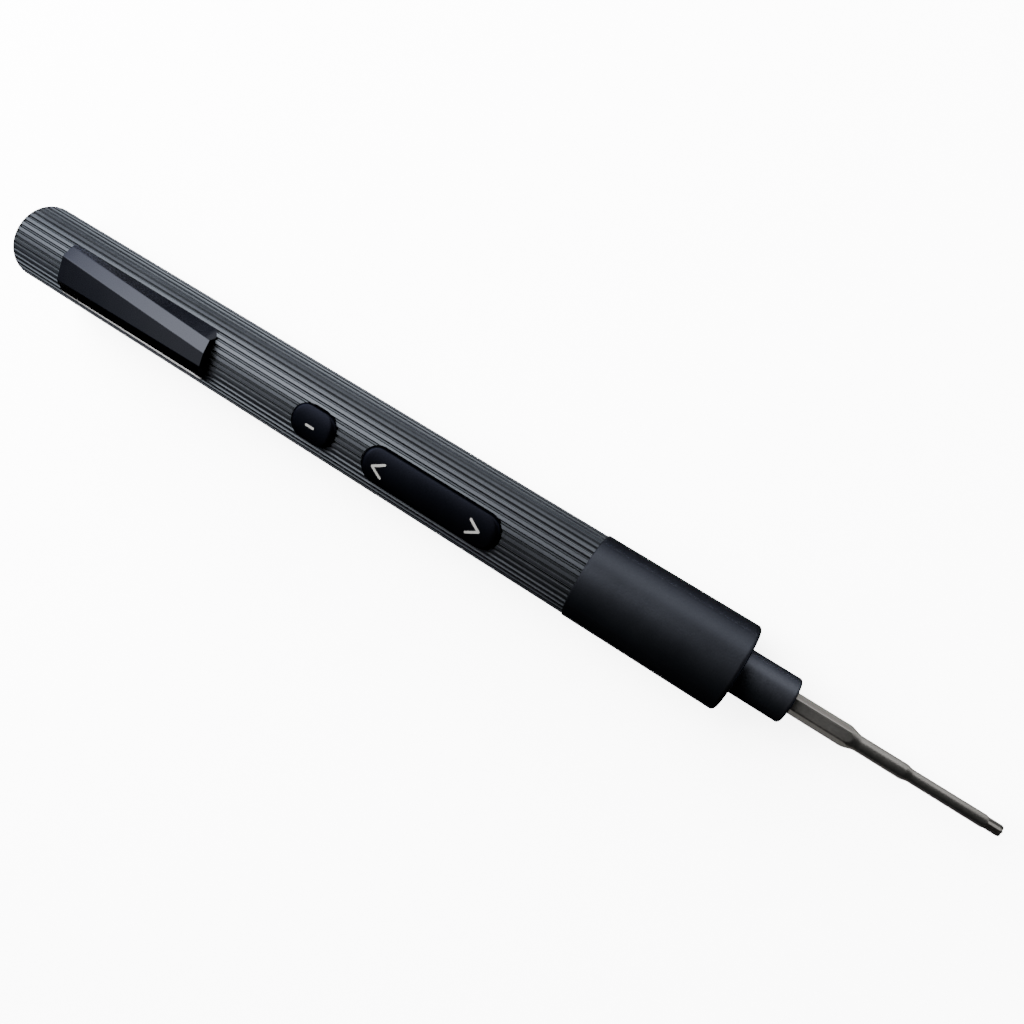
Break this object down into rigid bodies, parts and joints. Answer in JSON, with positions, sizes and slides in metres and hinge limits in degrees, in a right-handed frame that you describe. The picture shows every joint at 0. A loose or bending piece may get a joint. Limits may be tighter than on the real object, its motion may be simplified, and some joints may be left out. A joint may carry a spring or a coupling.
{
  "type": "electric torque screwdriver",
  "caption": "Pen-style cordless precision screwdriver: ribbed tube with pocket clip and two keys, smooth front sleeve, turning hex bit holder and a long bit, driven by a planetary gearbox.",
  "frame": {"origin": "centre of the rear face, on the spindle axis", "axes": "+X along the spindle axis from the rear face to the bit's tip, +Z towards the keys and the pocket clip, +Y to the left seen from behind"},
  "size_m": [0.2389, 0.0186, 0.0203],
  "materials": {
    "ribbed_aluminium": "anodised dark grey, satin",
    "black_plastic": "fine moulded texture",
    "steel": "bright, turned",
    "bit_steel": "satin, tool steel",
    "gold_contact": "plated",
    "circuit_board": "solder mask",
    "chip_black": "moulded",
    "cell_wrap": "shrink wrap",
    "nickel": "plain",
    "foam": "closed-cell foam",
    "clip_navy": "satin",
    "key_navy": "satin",
    "tray_grey": "moulded",
    "switch_white": "moulded",
    "magnet_grey": "sintered",
    "bronze": "sintered bronze",
    "copper": "lacquered",
    "gear_brass": "machined",
    "gear_steel": "machined",
    "sleeve_navy": "satin anodised",
    "chuck_grey": "satin"
  },
  "bodies": {
    "handle": {"body_tube": "ribbed_aluminium", "rear_cap": "black_plastic", "usb_shell": "steel", "usb_tongue": "black_plastic", "charge_board": "circuit_board", "battery_cell": "cell_wrap", "battery_strips": "nickel", "battery_pads": "foam", "clip_foot": "tray_grey", "clip_pin": "steel", "clip_spring": "steel", "clip_foot_screw": "steel", "chassis_tray": "tray_grey", "main_board": "circuit_board", "board_chips": "chip_black", "board_screws": "steel", "mode_switch": "steel", "rocker_switches": "steel", "rocker_bracket": "tray_grey", "rocker_pin": "steel", "motor_can": "steel", "motor_end_bell": "black_plastic", "motor_terminals": "gold_contact", "motor_magnets": "magnet_grey", "motor_bush": "bronze", "gearbox_plate": "steel", "ring_gear": "gear_steel", "gearbox_cover": "steel", "spindle_bush": "bronze", "nose_frame": "tray_grey", "bearing_outer_race": "steel", "front_sleeve": "sleeve_navy"},
    "clip": {"pocket_clip": "clip_navy"},
    "mode_key": {"mode_button": "key_navy", "mode_plunger": "switch_white"},
    "rocker": {"direction_rocker": "key_navy", "rocker_plungers": "switch_white"},
    "rotor": {"rotor_shaft": "steel", "rotor_core": "copper", "commutator": "copper", "pinion": "gear_brass"},
    "first_carrier": {"sun_carrier": "gear_steel", "carrier_pins": "steel"},
    "output": {"spindle": "steel", "spindle_pins": "steel", "bearing_inner_race": "steel", "chuck": "chuck_grey", "chuck_pin": "steel", "bit_magnet": "nickel"},
    "ball_set": {"bearing_balls": "steel", "bearing_cage": "gear_brass"},
    "bit": {"screwdriver_bit": "bit_steel"},
    "planet_a1": {"planet_a1": "gear_brass"},
    "planet_a2": {"planet_a2": "gear_brass"},
    "planet_a3": {"planet_a3": "gear_brass"},
    "planet_b1": {"planet_b1": "gear_steel"},
    "planet_b2": {"planet_b2": "gear_steel"},
    "planet_b3": {"planet_b3": "gear_steel"}
  },
  "joints": [
    {"name": "spindle_spin", "type": "hinge", "parent": "handle", "child": "output", "pos_m": [0.18, 0, 0], "axis": [1, 0, 0], "continuous": true},
    {"name": "bit_pull", "type": "slide", "parent": "output", "child": "bit", "axis": [1, 0, 0], "range_m": [0, 0.012]},
    {"name": "rotor_spin", "type": "hinge", "parent": "handle", "child": "rotor", "pos_m": [0.15, 0, 0], "axis": [1, 0, 0], "continuous": true},
    {"name": "first_carrier_spin", "type": "hinge", "parent": "handle", "child": "first_carrier", "pos_m": [0.165, 0, 0], "axis": [1, 0, 0], "continuous": true},
    {"name": "ball_set_spin", "type": "hinge", "parent": "handle", "child": "ball_set", "pos_m": [0.182, 0, 0], "axis": [1, 0, 0], "continuous": true},
    {"name": "mode_press", "type": "slide", "parent": "handle", "child": "mode_key", "axis": [0, 0, -1], "range_m": [0, 0.0003], "stiffness_N_per_m": 1500, "springref_m": -0.0002},
    {"name": "rocker_tip", "type": "hinge", "parent": "handle", "child": "rocker", "pos_m": [0.1193, 0, 0.0055], "axis": [0, 1, 0], "range_deg": [-1.2, 1.2], "stiffness_Nm_per_rad": 0.5},
    {"name": "clip_open", "type": "hinge", "parent": "handle", "child": "clip", "pos_m": [0.0184, 0, 0.0061], "axis": [0, -1, 0], "range_deg": [0, 3.5], "stiffness_Nm_per_rad": 2, "springref_deg": -3.44},
    {"name": "planet_a1_spin", "type": "hinge", "parent": "first_carrier", "child": "planet_a1", "pos_m": [0.162, 0.00312, 0], "axis": [1, 0, 0], "continuous": true},
    {"name": "planet_a2_spin", "type": "hinge", "parent": "first_carrier", "child": "planet_a2", "pos_m": [0.162, -0.00156, 0.00271], "axis": [1, 0, 0], "continuous": true},
    {"name": "planet_a3_spin", "type": "hinge", "parent": "first_carrier", "child": "planet_a3", "pos_m": [0.162, -0.00156, -0.00271], "axis": [1, 0, 0], "continuous": true},
    {"name": "planet_b1_spin", "type": "hinge", "parent": "output", "child": "planet_b1", "pos_m": [0.168, 0.00312, 0], "axis": [1, 0, 0], "continuous": true},
    {"name": "planet_b2_spin", "type": "hinge", "parent": "output", "child": "planet_b2", "pos_m": [0.168, -0.00156, 0.00271], "axis": [1, 0, 0], "continuous": true},
    {"name": "planet_b3_spin", "type": "hinge", "parent": "output", "child": "planet_b3", "pos_m": [0.168, -0.00156, -0.00271], "axis": [1, 0, 0], "continuous": true}
  ],
  "couplings": [
    {"joint": "first_carrier_spin", "follows": "rotor_spin", "ratio": 0.1875},
    {"joint": "spindle_spin", "follows": "rotor_spin", "ratio": 0.035156},
    {"joint": "ball_set_spin", "follows": "rotor_spin", "ratio": 0.015067},
    {"joint": "planet_a1_spin", "follows": "rotor_spin", "ratio": -0.4875},
    {"joint": "planet_a2_spin", "follows": "rotor_spin", "ratio": -0.4875},
    {"joint": "planet_a3_spin", "follows": "rotor_spin", "ratio": -0.4875},
    {"joint": "planet_b1_spin", "follows": "rotor_spin", "ratio": -0.091406},
    {"joint": "planet_b2_spin", "follows": "rotor_spin", "ratio": -0.091406},
    {"joint": "planet_b3_spin", "follows": "rotor_spin", "ratio": -0.091406}
  ]
}
